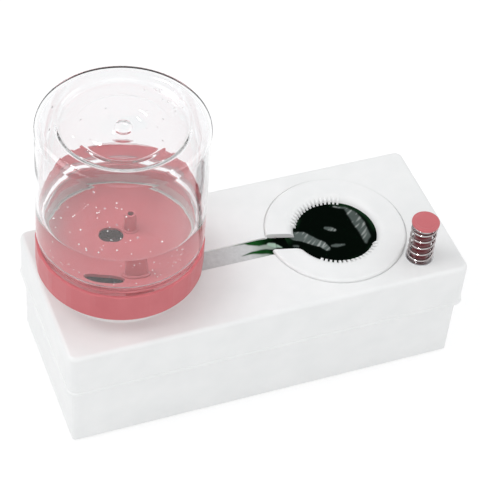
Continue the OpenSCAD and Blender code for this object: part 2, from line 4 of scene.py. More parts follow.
import bmesh
import bpy
from mathutils import Matrix, Vector, noise


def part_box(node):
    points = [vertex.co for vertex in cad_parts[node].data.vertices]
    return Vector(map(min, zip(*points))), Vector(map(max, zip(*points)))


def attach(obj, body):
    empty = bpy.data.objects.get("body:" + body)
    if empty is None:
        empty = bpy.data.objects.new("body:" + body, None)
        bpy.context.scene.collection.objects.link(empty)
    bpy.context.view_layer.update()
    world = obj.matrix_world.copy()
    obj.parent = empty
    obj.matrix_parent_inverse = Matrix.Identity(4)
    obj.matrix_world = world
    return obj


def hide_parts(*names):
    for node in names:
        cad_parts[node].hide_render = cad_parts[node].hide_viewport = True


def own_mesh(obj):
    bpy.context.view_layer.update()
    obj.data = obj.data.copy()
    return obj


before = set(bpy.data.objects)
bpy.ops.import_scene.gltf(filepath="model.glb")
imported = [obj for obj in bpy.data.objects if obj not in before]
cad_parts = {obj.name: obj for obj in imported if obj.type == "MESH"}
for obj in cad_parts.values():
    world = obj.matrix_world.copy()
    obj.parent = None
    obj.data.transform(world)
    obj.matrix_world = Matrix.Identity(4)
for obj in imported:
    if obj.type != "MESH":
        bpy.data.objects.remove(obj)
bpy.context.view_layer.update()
random.seed(7)

MM = 0.001
UP = Vector((0, 0, 1))
ON_AXIS = 1e-7

# Places and levels, in metres, taken from the nodes
JAR_LO, JAR_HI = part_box("water_jar")
CAP_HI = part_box("jar_cap")[1]
DISH_LO, DISH_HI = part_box("rinse_dish")
HEAD_LO, HEAD_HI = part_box("button_head")
WASHER_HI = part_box("spring_washer")[1]
JAR_X = (JAR_LO.x + JAR_HI.x) / 2
JAR_Y = (JAR_LO.y + JAR_HI.y) / 2
DISH_X = (DISH_LO.x + DISH_HI.x) / 2
DISH_Y = (DISH_LO.y + DISH_HI.y) / 2
BUTTON_X = (HEAD_LO.x + HEAD_HI.x) / 2
BUTTON_Y = (HEAD_LO.y + HEAD_HI.y) / 2
WATER_Z = 73 * MM
CHANNEL_WATER_Z = 74.0 * MM
JAR_WATER_Z = 130.5 * MM


# Mesh helpers


def add_object(name, mesh, smooth=True):
    obj = bpy.data.objects.new(name, mesh)
    bpy.context.scene.collection.objects.link(obj)
    if smooth:
        mesh.shade_smooth()
    return obj


def object_from(name, bm, smooth=True):
    """Turns a finished bmesh into an object of the scene."""
    mesh = bpy.data.meshes.new(name)
    bm.to_mesh(mesh)
    bm.free()
    return add_object(name, mesh, smooth)


def bridge(bm, low, high):
    """Faces between two rings of points, where a ring of one point is a pole."""
    if len(low) == 1 and len(high) == 1:
        return
    count = max(len(low), len(high))
    for k in range(count):
        n = (k + 1) % count
        if len(low) == 1:
            bm.faces.new((low[0], high[n], high[k]))
        elif len(high) == 1:
            bm.faces.new((low[k], low[n], high[0]))
        else:
            bm.faces.new((low[k], low[n], high[n], high[k]))


def lathe(name, profile, centre, segments):
    """Closed solid from (radius, z) points, where a point on the axis becomes a pole."""
    bm = bmesh.new()
    rings = []
    for radius, z in profile:
        if radius < ON_AXIS:
            rings.append([bm.verts.new((centre[0], centre[1], z))])
            continue
        ring = []
        for k in range(segments):
            a = 2 * math.pi * k / segments
            x = centre[0] + radius * math.cos(a)
            y = centre[1] + radius * math.sin(a)
            ring.append(bm.verts.new((x, y, z)))
        rings.append(ring)
    pairs = list(zip(rings, rings[1:]))
    if len(rings[0]) > 1 and len(rings[-1]) > 1:
        pairs.append((rings[-1], rings[0]))
    for low, high in pairs:
        bridge(bm, low, high)
    bmesh.ops.recalc_face_normals(bm, faces=bm.faces)
    return object_from(name, bm)


def arc(centre, radius, start, end, steps):
    """Points on an arc from one angle to another, in degrees."""
    points = []
    for i in range(steps + 1):
        a = math.radians(start + (end - start) * i / steps)
        points.append((centre[0] + radius * math.cos(a), centre[1] + radius * math.sin(a)))
    return points


def tube(name, path, radius, sides=16):
    """Round wire along a path, closed at both ends."""
    bm = bmesh.new()
    rings = []
    for i, point in enumerate(path):
        before = path[max(0, i - 1)]
        after = path[min(len(path) - 1, i + 1)]
        along = (after - before).normalized()
        side = along.cross(UP).normalized()
        lift = side.cross(along).normalized()
        ring = []
        for k in range(sides):
            a = 2 * math.pi * k / sides
            ring.append(bm.verts.new(point + radius * (math.cos(a) * side + math.sin(a) * lift)))
        rings.append(ring)
    for low, high in zip(rings, rings[1:]):
        bridge(bm, low, high)
    bm.faces.new(rings[0])
    bm.faces.new(rings[-1])
    bmesh.ops.recalc_face_normals(bm, faces=bm.faces)
    return object_from(name, bm)


# Material helpers


def new_material(name):
    material = bpy.data.materials.new(name)
    material.use_nodes = True
    shader = material.node_tree.nodes["Principled BSDF"]
    return material, shader


def node(owner, kind, **values):
    """New shader node of a material or the world, with its inputs or settings."""
    made = owner.node_tree.nodes.new(kind)
    for key, value in values.items():
        if key in made.inputs:
            made.inputs[key].default_value = value
        else:
            setattr(made, key, value)
    return made


def link(owner, out, into):
    owner.node_tree.links.new(out, into)


def choose_by_ray(owner, fac, usual, special, output):
    """Shows the special shader where fac is 1, and the usual one elsewhere."""
    choose = node(owner, "ShaderNodeMixShader")
    link(owner, fac, choose.inputs[0])
    link(owner, usual.outputs[0], choose.inputs[1])
    link(owner, special.outputs[0], choose.inputs[2])
    link(owner, choose.outputs[0], owner.node_tree.nodes[output].inputs["Surface"])


def looking_rays(owner):
    """1 for rays from the camera, off a mirror or through a clear solid, and 0 for the others."""
    rays = node(owner, "ShaderNodeLightPath")
    direct = node(owner, "ShaderNodeMath", operation="MAXIMUM")
    every = node(owner, "ShaderNodeMath", operation="MAXIMUM")
    link(owner, rays.outputs["Is Camera Ray"], direct.inputs[0])
    link(owner, rays.outputs["Is Glossy Ray"], direct.inputs[1])
    link(owner, direct.outputs[0], every.inputs[0])
    link(owner, rays.outputs["Is Transmission Ray"], every.inputs[1])
    return every.outputs[0]


def noise_map(material, scale, detail, roughness=0.5, distortion=0.0):
    """Noise in the object's own coordinates."""
    place = node(material, "ShaderNodeTexCoord")
    made = node(material, "ShaderNodeTexNoise")
    made.inputs["Scale"].default_value = scale
    made.inputs["Detail"].default_value = detail
    made.inputs["Roughness"].default_value = roughness
    made.inputs["Distortion"].default_value = distortion
    link(material, place.outputs["Object"], made.inputs["Vector"])
    return made.outputs["Fac"]


def ramp(material, value, stops):
    """Colour ramp from (position, colour) stops."""
    made = node(material, "ShaderNodeValToRGB")
    elements = made.color_ramp.elements
    while len(elements) > 1:
        elements.remove(elements[-1])
    elements[0].position = stops[0][0]
    elements[0].color = (*stops[0][1], 1)
    for position, colour in stops[1:]:
        element = elements.new(position)
        element.color = (*colour, 1)
    link(material, value, made.inputs["Fac"])
    return made.outputs["Color"]


def remap(material, value, low, high, from_low=0.3, from_high=0.7):
    """Spreads the middle of a noise over the range from low to high."""
    made = node(material, "ShaderNodeMapRange")
    made.inputs["From Min"].default_value = from_low
    made.inputs["From Max"].default_value = from_high
    made.inputs["To Min"].default_value = low
    made.inputs["To Max"].default_value = high
    link(material, value, made.inputs["Value"])
    return made.outputs["Result"]


def bumps(material, shader, layers):
    """Stacks (value, distance in metres, strength) bump layers onto the shader."""
    normal = None
    for value, distance, strength in layers:
        made = node(material, "ShaderNodeBump")
        made.inputs["Distance"].default_value = distance
        made.inputs["Strength"].default_value = strength
        link(material, value, made.inputs["Height"])
        if normal is not None:
            link(material, normal, made.inputs["Normal"])
        normal = made.outputs["Normal"]
    link(material, normal, shader.inputs["Normal"])


def moulded_plastic(name, dark, light, rough_low, rough_high):
    """Injection-moulded plastic: faint mottle, fine grain and slow gloss waves."""
    material, shader = new_material(name)
    mottle = noise_map(material, 60, detail=4)
    link(material, ramp(material, mottle, [(0.3, dark), (0.7, light)]), shader.inputs["Base Color"])
    wear = noise_map(material, 170, detail=6, roughness=0.6)
    link(material, remap(material, wear, rough_low, rough_high), shader.inputs["Roughness"])
    fine = noise_map(material, 2400, detail=2)
    slow = noise_map(material, 22, detail=1)
    bumps(material, shader, [(slow, 0.25 * MM, 0.5), (fine, 0.012 * MM, 0.6)])
    return material


def rubber(name, dark, light, rough):
    """Soft rubber or silicone with a fine speckle."""
    material, shader = new_material(name)
    speckle = noise_map(material, 900, detail=4)
    link(material, ramp(material, speckle, [(0.35, dark), (0.7, light)]), shader.inputs["Base Color"])
    link(material, remap(material, speckle, rough - 0.08, rough + 0.08), shader.inputs["Roughness"])
    bumps(material, shader, [(noise_map(material, 2600, detail=2), 0.02 * MM, 0.6)])
    return material


def metal(name, dark, light, rough_low, rough_high):
    """Drawn or turned metal with fine lines around its Z axis."""
    material, shader = new_material(name)
    shader.inputs["Metallic"].default_value = 1.0
    place = node(material, "ShaderNodeTexCoord")
    stretch = node(material, "ShaderNodeMapping")
    stretch.inputs["Scale"].default_value = (300, 300, 5000)
    link(material, place.outputs["Object"], stretch.inputs["Vector"])
    lines = node(material, "ShaderNodeTexNoise")
    lines.inputs["Scale"].default_value = 1.0
    lines.inputs["Detail"].default_value = 3.0
    link(material, stretch.outputs["Vector"], lines.inputs["Vector"])
    grain = lines.outputs["Fac"]
    link(material, ramp(material, grain, [(0.35, dark), (0.65, light)]), shader.inputs["Base Color"])
    link(material, remap(material, grain, rough_low, rough_high), shader.inputs["Roughness"])
    bumps(material, shader, [(grain, 0.004 * MM, 0.5)])
    return material


def clear(name, ior, tint, rough_low, rough_high, wave_scale, wave_depth):
    """Clear plastic or water, with a slow waviness in its surface."""
    material, shader = new_material(name)
    shader.inputs["Transmission Weight"].default_value = 1.0
    shader.inputs["IOR"].default_value = ior
    shader.inputs["Base Color"].default_value = (*tint, 1)
    smear = noise_map(material, 90, detail=5, roughness=0.6)
    link(material, remap(material, smear, rough_low, rough_high, 0.45, 0.75), shader.inputs["Roughness"])
    bumps(material, shader, [(noise_map(material, wave_scale, detail=2), wave_depth, 0.6)])
    pass_light(material, shader, tint)
    return material


def pass_light(material, shader, tint):
    """Lets lamps shine through a clear solid, since its own refraction would block them."""
    rays = node(material, "ShaderNodeLightPath")
    through = node(material, "ShaderNodeBsdfTransparent")
    through.inputs["Color"].default_value = (*tint, 1)
    choose_by_ray(material, rays.outputs["Is Shadow Ray"], shader, through, "Material Output")


def set_material(obj, material):
    obj.data.materials.clear()
    obj.data.materials.append(material)


# Materials, each with its dark and light tone and its range of roughness

white_plastic = moulded_plastic("white_plastic", (0.83, 0.835, 0.83), (0.87, 0.87, 0.865), 0.3, 0.42)
dish_plastic = moulded_plastic("dish_plastic", (0.83, 0.835, 0.83), (0.87, 0.87, 0.865), 0.28, 0.38)
rose_plastic = moulded_plastic("rose_plastic", (0.52, 0.115, 0.13), (0.56, 0.135, 0.15), 0.34, 0.46)
bush_plastic = moulded_plastic("bush_plastic", (0.74, 0.75, 0.77), (0.8, 0.81, 0.82), 0.4, 0.5)
silicone = rubber("silicone", (0.66, 0.64, 0.61), (0.76, 0.74, 0.71), 0.45)
plug_rubber = rubber("plug_rubber", (0.05, 0.05, 0.055), (0.075, 0.075, 0.08), 0.6)
foot_rubber = rubber("foot_rubber", (0.04, 0.04, 0.044), (0.065, 0.065, 0.07), 0.7)
steel = metal("steel", (0.5, 0.5, 0.51), (0.66, 0.66, 0.67), 0.22, 0.38)
# The wire's dark tone is painted shade: it stands in for dark surroundings in the wire's reflections.
spring_wire = metal("spring_wire", (0.3, 0.27, 0.27), (0.42, 0.39, 0.39), 0.08, 0.16)
# The stem's dark red tone is painted shade, for the shade inside the spring.
shaded_stem_plastic = moulded_plastic("shaded_stem_plastic", (0.14, 0.02, 0.026), (0.17, 0.026, 0.032), 0.14, 0.24)
clear_plastic = clear("clear_plastic", 1.5, (0.965, 0.97, 0.975), 0.0, 0.03, 45, 0.25 * MM)
water = clear("water", 1.333, (1.0, 0.98, 0.985), 0.0, 0.0, 60, 0.02 * MM)
# The bubbles' white is a painted highlight: opaque white beads stand in for the light that clear bubbles
# reflect.
air = moulded_plastic("air", (0.85, 0.8, 0.8), (0.95, 0.92, 0.92), 0.1, 0.2)

MATERIAL_OF = {
    "base_box": white_plastic,
    "lid": white_plastic,
    "rinse_dish": dish_plastic,
    "jar_cap": rose_plastic,
    "air_tube": rose_plastic,
    "button_head": rose_plastic,
    "button_stem": shaded_stem_plastic,
    "guide_bush": bush_plastic,
    "drain_arm": bush_plastic,
    "spring_washer": steel,
    "stem_clip": steel,
    "arm_screw": steel,
    "inlet_seal": silicone,
    "cap_seal": silicone,
    "foot_1": foot_rubber,
    "foot_2": foot_rubber,
    "foot_3": foot_rubber,
    "foot_4": foot_rubber,
    "drain_plug": plug_rubber,
}
for name, material in MATERIAL_OF.items():
    set_material(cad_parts[name], material)


# Jar, upside down: its wall from the lip to the base, with a rounder heel than the solid's

JAR_SEGMENTS = 224
WALL = 1.8 * MM
NECK_R = 43.8 * MM
BODY_R = 46.7 * MM
LIP_Z = JAR_LO.z
BEAD_Z = CAP_HI.z + 2.6 * MM
SHOULDER_Z = JAR_HI.z - 80.5 * MM
SHOULDER_R = 2.4 * MM
HEEL_R = 4 * MM
LIP_BEAD_R = 0.9 * MM
WALL_STEPS = 24
WALL_WAVE = 0.12 * MM
DOME_R = 34.2 * MM
DOME_EDGE_R = 2 * MM
DOME_H = 3.1 * MM
TOP = JAR_HI.z

# The sunk base in millimetres: (from the dome's radius, height) at its rim, and (radius, height)
# at the moulded mark in its middle
DOME_RIM = [
    (-0.4, 0.6), (-1.2, 0.12), (-2.4, 0), (-7, -0.4), (-8, -0.5), (-8.8, -0.3), (-9.8, -0.05)
]
DOME_MARK = [(12, -0.1), (5.4, -0.3), (4.6, -0.1), (4, 0.4), (3, 0.5), (0, 0.5)]


def jar_side(t):
    """(radius, z) points of the jar's wall drawn in by t, from the lip to the base's middle."""
    points = [(NECK_R - t, LIP_Z)]
    if t == 0:
        points += arc((NECK_R + 0.7 * MM, BEAD_Z), LIP_BEAD_R, -90, 90, 10)
    points += [(NECK_R - t, SHOULDER_Z)]
    shoulder = (BODY_R - t - SHOULDER_R, SHOULDER_Z + SHOULDER_R + t / 2)
    points += arc(shoulder, SHOULDER_R, -90, 0, 10)
    low = shoulder[1]
    high = TOP - t - HEEL_R
    for i in range(1, WALL_STEPS):
        points.append((BODY_R - t, low + (high - low) * i / WALL_STEPS))
    heel = HEEL_R - t / 2
    points += arc((BODY_R - t - heel, TOP - t - heel), heel, 0, 90, 14)
    base = TOP - t - DOME_H
    edge = (DOME_R + DOME_EDGE_R + t / 2, TOP - t - DOME_EDGE_R)
    points += arc(edge, DOME_EDGE_R, 90, 150, 8)
    points += [(DOME_R + dr * MM, base + dz * MM) for dr, dz in DOME_RIM]
    points += [(r * MM, base + dz * MM) for r, dz in DOME_MARK]
    return points


def jar_shell(name):
    """Both walls of the jar in one closed mesh, with a blown wall's slight waves inside."""
    bm = bmesh.new()

    def add_rings(points, wave):
        rings = []
        for radius, z in points:
            if radius < ON_AXIS:
                rings.append([bm.verts.new((JAR_X, JAR_Y, z))])
                continue
            ring = []
            for k in range(JAR_SEGMENTS):
                a = 2 * math.pi * k / JAR_SEGMENTS
                x, y = math.cos(a), math.sin(a)
                n = noise.noise(Vector((2.2 * x, 2.2 * y, z * 22)))
                r = radius + wave * n
                ring.append(bm.verts.new((JAR_X + r * x, JAR_Y + r * y, z)))
            rings.append(ring)
        for low, high in zip(rings, rings[1:]):
            bridge(bm, low, high)
        return rings

    outer = add_rings(jar_side(0), 0.0)
    inner = add_rings(jar_side(WALL), WALL_WAVE)
    bridge(bm, outer[0], inner[0])
    bmesh.ops.recalc_face_normals(bm, faces=bm.faces)
    return object_from(name, bm)


jar = jar_shell("jar_glass")
set_material(jar, clear_plastic)
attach(jar, "jar")
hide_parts("water_jar")

# Water in the jar, up to its level, with a meniscus at the wall. It reaches a little into the
# jar's wall, so that light passes straight from plastic to water.
OVERLAP = 0.15 * MM
CAP_FLOOR_Z = LIP_Z - 1.2 * MM
WATER_WALL = BODY_R - WALL + OVERLAP
NECK_WALL = NECK_R - WALL + OVERLAP
MENISCUS_RISE = 1.1 * MM
MENISCUS_REACH = 4 * MM
MENISCUS_STEPS = 12
SHARP_EDGE = math.radians(40)


def jar_water_profile():
    floor_z = CAP_FLOOR_Z - 0.05 * MM
    points = [(0, floor_z), (NECK_WALL, floor_z), (NECK_WALL, SHOULDER_Z)]
    shoulder = (WATER_WALL - SHOULDER_R, SHOULDER_Z + SHOULDER_R + WALL / 2 - OVERLAP)
    points += arc(shoulder, SHOULDER_R, -90, 0, 10)
    points.append((WATER_WALL, JAR_WATER_Z + MENISCUS_RISE))
    for i in range(1, MENISCUS_STEPS + 1):
        t = i / MENISCUS_STEPS
        level = JAR_WATER_Z + MENISCUS_RISE * (1 - t) ** 3
        points.append((WATER_WALL - MENISCUS_REACH * t, level))
    points += [(WATER_WALL / 2, JAR_WATER_Z), (0, JAR_WATER_Z)]
    return points


def join_solids(main, other):
    """Adds the other closed mesh to the main one and removes it."""
    union = main.modifiers.new("join", "BOOLEAN")
    union.operation = "UNION"
    union.solver = "EXACT"
    union.object = other
    depsgraph = bpy.context.evaluated_depsgraph_get()
    mesh = bpy.data.meshes.new_from_object(main.evaluated_get(depsgraph))
    main.modifiers.clear()
    main.data = mesh
    bpy.data.objects.remove(other)


def slab(name, corners, low, high):
    """Prism over a plan outline."""
    bm = bmesh.new()
    bottom = [bm.verts.new((x, y, low)) for x, y in corners]
    top = [bm.verts.new((x, y, high)) for x, y in corners]
    bm.faces.new(bottom)
    bm.faces.new(top)
    count = len(corners)
    for k in range(count):
        n = (k + 1) % count
        bm.faces.new((bottom[k], bottom[n], top[n], top[k]))
    bmesh.ops.recalc_face_normals(bm, faces=bm.faces)
    return object_from(name, bm, smooth=False)


# The outlet in the cap, through which the water stands down to the ring under the cap
OUTLET_X = JAR_X - 4.2 * MM
OUTLET_Y = JAR_Y + 3.2 * MM
OUTLET_HALF = 1.75 * MM
OUTLET_R = 5.4 * MM
OUTLET_TURN = math.radians(-18)


def outlet_outline():
    """Slot with round ends, in plan."""
    points = []
    for side in (1, -1):
        for k in range(17):
            a = math.radians(-90 + 180 * k / 16) + (0 if side > 0 else math.pi)
            x = side * OUTLET_HALF + OUTLET_R * math.cos(a)
            y = OUTLET_R * math.sin(a)
            turned_x = x * math.cos(OUTLET_TURN) - y * math.sin(OUTLET_TURN)
            turned_y = x * math.sin(OUTLET_TURN) + y * math.cos(OUTLET_TURN)
            points.append((OUTLET_X + turned_x, OUTLET_Y + turned_y))
    return points


jar_water = lathe("jar_water", jar_water_profile(), (JAR_X, JAR_Y), JAR_SEGMENTS)
column = slab("outlet_water", outlet_outline(), WATER_Z - 0.1 * MM, CAP_FLOOR_Z + 2 * MM)
join_solids(jar_water, column)
jar_water.data.shade_smooth()
jar_water.data.set_sharp_from_angle(angle=SHARP_EDGE)
set_material(jar_water, water)
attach(jar_water, "cap")


# Drops and bubbles in the jar. Ranges are (low, high), angles in degrees and sizes in millimetres.
SPLASH_COUNT = 16
SPLASH_ANGLE = (5, 62)
SPLASH_REACH = (30, 41)
SPLASH_SIZE = (0.35, 0.9)
SPLASH_STEP = 1.2 * MM
DROP_COUNT = 22
DROP_LEVEL = (136, 180)
DROP_SIZE = (0.3, 0.7)
DROP_INSET = 0.1 * MM
DROP_FLATNESS = 0.45
CLINGING_COUNT = 46
CLINGING_ANGLE = (185, 300)
CLINGING_LEVEL = (112, 129)
CLINGING_SIZE = (0.18, 0.42)
CLINGING_INSET = 0.7 * MM
FLOATING_COUNT = 44
FLOATING_ANGLE = (165, 290)
FLOATING_REACH = 41 * MM
FLOATING_SIZE = (0.2, 0.5)
FLOATING_RISE = 0.1 * MM
INNER_TOP = TOP - WALL - DOME_H


def beads(name, places, material, flat=1.0):
    """Small round beads in one mesh, from (centre, radius, outward direction)."""
    bm = bmesh.new()
    for centre, radius, out in places:
        made = bmesh.ops.create_icosphere(bm, subdivisions=3, radius=radius)
        turn = Vector(out).to_track_quat("Z", "Y").to_matrix().to_4x4()
        squash = Matrix.Diagonal((1, 1, flat, 1))
        moved = Matrix.Translation(centre) @ turn @ squash
        bmesh.ops.transform(bm, matrix=moved, verts=made["verts"])
    obj = object_from(name, bm)
    set_material(obj, material)
    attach(obj, "jar")


def jar_point(angle, r, z):
    return Vector((JAR_X + r * math.cos(angle), JAR_Y + r * math.sin(angle), z))


def wall_place(angle, z, inset):
    """Point near the jar's inner wall, with the direction out of the jar there."""
    out = Vector((math.cos(angle), math.sin(angle), 0))
    return jar_point(angle, BODY_R - WALL - inset, z), out


drops = []
for k in range(SPLASH_COUNT):
    # Splashes under the right side of the base
    a = math.radians(random.uniform(*SPLASH_ANGLE))
    r = random.uniform(*SPLASH_REACH) * MM
    size = random.uniform(*SPLASH_SIZE) * MM
    level = INNER_TOP + SPLASH_STEP if r > DOME_R - 1 * MM else INNER_TOP
    drops.append((jar_point(a, r, level), size, UP))
for k in range(DROP_COUNT):
    # Drops on the inside of the wall, above the water
    a = random.uniform(0, 2 * math.pi)
    level = random.uniform(*DROP_LEVEL) * MM
    place, out = wall_place(a, level, DROP_INSET)
    drops.append((place, random.uniform(*DROP_SIZE) * MM, out))
beads("drops", drops, water, flat=DROP_FLATNESS)

bubbles = []
for k in range(CLINGING_COUNT):
    # Bubbles that cling to the front and left of the wall under water
    a = math.radians(random.uniform(*CLINGING_ANGLE))
    level = random.uniform(*CLINGING_LEVEL) * MM
    place, out = wall_place(a, level, CLINGING_INSET)
    bubbles.append((place, random.uniform(*CLINGING_SIZE) * MM, out))
for k in range(FLOATING_COUNT):
    # Bubbles that float on the water, at its front and left
    a = math.radians(random.uniform(*FLOATING_ANGLE))
    r = FLOATING_REACH * random.random() ** 0.5
    place = jar_point(a, r, JAR_WATER_Z + FLOATING_RISE)
    bubbles.append((place, random.uniform(*FLOATING_SIZE) * MM, UP))
# The bubbles are painted white as painted highlights.
beads("bubbles", bubbles, air)

# Spring: round wire along the helix of the CAD solid
WIRE_R = 0.65 * MM
COIL_R = 7 * MM
TURNS = 4.25
END_TURNS = 0.75
END_PITCH = 1.85 * MM
STEPS_PER_TURN = 40
SPRING_GAP = 0.05 * MM
spring_low = WASHER_HI.z + WIRE_R + SPRING_GAP
spring_high = HEAD_LO.z - WIRE_R - SPRING_GAP
active_pitch = (spring_high - spring_low - 2 * END_TURNS * END_PITCH) / TURNS


def coil_z(turn):
    """Height of the wire after so many turns: close at both ends, open between them."""
    if turn < END_TURNS:
        return spring_low + turn * END_PITCH
    if turn > TURNS + END_TURNS:
        return spring_high - (TURNS + 2 * END_TURNS - turn) * END_PITCH
    return spring_low + END_TURNS * END_PITCH + (turn - END_TURNS) * active_pitch


path = []
for i in range(int((TURNS + 2 * END_TURNS) * STEPS_PER_TURN) + 1):
    turn = i / STEPS_PER_TURN
    a = 2 * math.pi * turn
    x = BUTTON_X + COIL_R * math.cos(a)
    y = BUTTON_Y + COIL_R * math.sin(a)
    path.append(Vector((x, y, coil_z(turn))))
spring = tube("spring_coil", path, WIRE_R)
set_material(spring, spring_wire)
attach(spring, "lid")
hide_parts("return_spring")
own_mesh(spring)

# Water in the channel and the dish: one sheet each, since the dish lifts out. In millimetres.

CHANNEL_Y = -1.5
CHANNEL_HALF = 7.4
CHANNEL_END = 16.6
WELL_R = 35.9
BOWL_WATER_R = 25.4
INLET_TURN = math.radians(13.4)
INLET_OFFSET = -8.7
INLET_HALF = 6.5
SEAL_FACE = -35.9
# Painted shade: middle and radius of the dark patch painted on the water under the cap's outlet.
SHADE_X = OUTLET_X / MM + 2.5
SHADE_Y = OUTLET_Y / MM + 5
SHADE_R = 13
BOWL_START = 26
INLET_RISE = 0.25 * MM
CHANNEL_BED_Z = 69.5 * MM
INLET_BED_Z = 71.4 * MM
CHANNEL_CELL = 0.5
DISH_CELL = 0.38

# Curves on the water, in millimetres: (x, y, half width)
FAR_STREAK = [
    (-6, 5.9, 0.1), (2, 5.7, 1.2), (5, 5.0, 2.3), (10, 4.1, 3.0), (15, 4.2, 3.0), (20, 3.7, 3.6),
    (26, 2.5, 5.0)
]
NEAR_STREAK = [(-3, -3.7, 0.1), (4, -3.4, 1.1), (9, -3.8, 1.8), (14, -5.0, 1.9), (18, -5.4, 2.2)]
PALE_SPOT = [(15.4, 0.9, 1.3), (17.6, -0.6, 1.7), (21, -2.8, 0.3)]
# Painted reflections: the curves from here down to INLET_SPOT mark where the dark water is painted
# lighter, as reflections of its surroundings.
STREAK_REFLECTION = [
    (30.2, 4.6, 0.8), (32.5, 3.0, 3.2), (36.5, 1.5, 3.8), (41, -3.4, 3.0), (45, -7.3, 2.4),
    (46.9, -11.4, 1.8)
]
SMALL_SPOT = [(50.8, -10.4, 0.8), (53.2, -10.5, 1.3), (57.4, -11.0, 0.5)]
MIDDLE_SPOT = [(52.2, 4.2, 1.1), (54.6, 2.8, 1.6), (56.6, 1.2, 1.0)]
SIDE_BAND = [
    (63.5, 19.3, 0.3), (69.5, 16.2, 0.8), (71.6, 11.0, 2.6), (72.7, 3.0, 3.6), (72.6, -8.0, 2.6),
    (70.5, -13.5, 0.5)
]
INLET_SPOT = [(29.2, -4.5, 0.8), (30.6, -4.9, 0.8)]

# Painted reflections on the dark water: (curve, softness of its edge, strength)
PAINTED_REFLECTIONS = [
    (STREAK_REFLECTION, 0.45, 0.95),
    (SMALL_SPOT, 0.6, 0.8),
    (MIDDLE_SPOT, 0.5, 0.8),
    (SIDE_BAND, 0.7, 0.75),
    (INLET_SPOT, 0.6, 0.7),
]

CLEAR_TONE = (0.64, 0.65, 0.65)
CLOUDED_TONE = (0.30, 0.36, 0.31)
# Painted shade: the water under the cap's outlet, dark because the cap shades it.
SHADED_TONE = (0.12, 0.065, 0.058)
GREEN_TONE = (0.008, 0.075, 0.013)
DARK_TONE = (0.0003, 0.0022, 0.0009)
RIM_TONE = (0.008, 0.03, 0.012)
# The next two tones are painted reflections on the dark water.
REFLECTION_GREY_TONE = (0.11, 0.135, 0.125)
REFLECTION_LIGHT_TONE = (0.42, 0.45, 0.43)
PALE_TONE = (0.38, 0.52, 0.42)


def smooth_step(low, high, value):
    """0 up to low, 1 from high on, and smooth between them."""
    t = min(1, max(0, (value - low) / (high - low)))
    return t * t * (3 - 2 * t)


def mix(a, b, t):
    """Colour between a and b."""
    return tuple(a[i] + (b[i] - a[i]) * t for i in range(3))


def in_curve(x, y, curve, soft):
    """1 inside a curve of varying width, 0 outside, soft at its edge."""
    best = -99
    for (x0, y0, w0), (x1, y1, w1) in zip(curve, curve[1:]):
        along = (x - x0) * (x1 - x0) + (y - y0) * (y1 - y0)
        t = min(1, max(0, along / ((x1 - x0) ** 2 + (y1 - y0) ** 2)))
        gap = math.hypot(x - x0 - t * (x1 - x0), y - y0 - t * (y1 - y0))
        best = max(best, w0 + t * (w1 - w0) - gap)
    return smooth_step(-soft, soft, best)


def wobble(x, y, size, scale):
    """Small offset that bends the edges of the curves."""
    place = Vector((x * scale, y * scale, 3.7))
    return size * noise.noise(place), size * noise.noise(place + Vector((9.1, 4.3, 0)))


def painted_reflection_tone(x, y):
    """Painted reflection: grey with lighter streaks along it."""
    along = 0.8 * x + 0.6 * y
    across = 0.8 * y - 0.6 * x
    streak = noise.noise(Vector((along * 0.12, across * 0.75, 5.0)))
    return mix(REFLECTION_GREY_TONE, REFLECTION_LIGHT_TONE, smooth_step(0.0, 0.55, streak))


def water_tone(x, y):
    """Colour of the water from above: clear at the jar, then green, then dark with paint, with painted
    shade under the outlet and painted reflections laid over it.
    """
    # Painted shade: the water under the outlet is painted dark for the cap's shade.
    if math.hypot(x - SHADE_X, y - SHADE_Y) < SHADE_R:
        return SHADED_TONE
    dx, dy = wobble(x, y, 0.9, 0.16)
    px, py = x + dx, y + dy
    stain = max(in_curve(px, py, FAR_STREAK, 0.55), in_curve(px, py, NEAR_STREAK, 0.5))
    stain = max(stain, smooth_step(15.0, 19.5, px))
    drift = 4 * noise.noise(Vector((x * 0.25, y * 0.5, 1.3)))
    murky = mix(GREEN_TONE, DARK_TONE, smooth_step(5, 19, px + drift))
    near_jar = mix(CLEAR_TONE, CLOUDED_TONE, smooth_step(0, 15, px))
    tone = mix(near_jar, murky, stain)
    tone = mix(tone, PALE_TONE, in_curve(px, py, PALE_SPOT, 0.5))
    if x > BOWL_START:
        r = math.hypot(x - DISH_X / MM, y - DISH_Y / MM)
        patch = smooth_step(-0.4, 0.5, noise.noise(Vector((x * 0.12, y * 0.12, 7.7))))
        tone = mix(tone, RIM_TONE, smooth_step(20.5, 24.0, r) * patch)
    # Painted reflections of the surroundings, laid over the water's colour.
    reflection_colour = painted_reflection_tone(x, y)
    qx, qy = x + 0.5 * dx, y + 0.5 * dy
    for curve, soft, amount in PAINTED_REFLECTIONS:
        tone = mix(tone, reflection_colour, amount * in_curve(qx, qy, curve, soft))
    return tone


def painted_water(name):
    """Opaque paint water with the tone stored at its points, which holds painted shade and painted
    reflections besides the water's colour, and fine ripples.
    """
    material, shader = new_material(name)
    tone = node(material, "ShaderNodeAttribute", attribute_name="tone")
    grain = noise_map(material, 420, detail=3)
    shade = node(material, "ShaderNodeMix", data_type="RGBA", blend_type="MULTIPLY")
    shade.inputs[0].default_value = 1.0
    link(material, tone.outputs["Color"], shade.inputs[6])
    specks = ramp(material, grain, [(0.3, (0.88, 0.88, 0.88)), (0.7, (1, 1, 1))])
    link(material, specks, shade.inputs[7])
    link(material, shade.outputs[2], shader.inputs["Base Color"])
    shader.inputs["Roughness"].default_value = 0.08
    shader.inputs["Specular IOR Level"].default_value = 0.01
    ripples = noise_map(material, 90, detail=1, distortion=0.5)
    bumps(material, shader, [(ripples, 0.3 * MM, 0.15)])
    return material


paint_water = painted_water("paint_water")


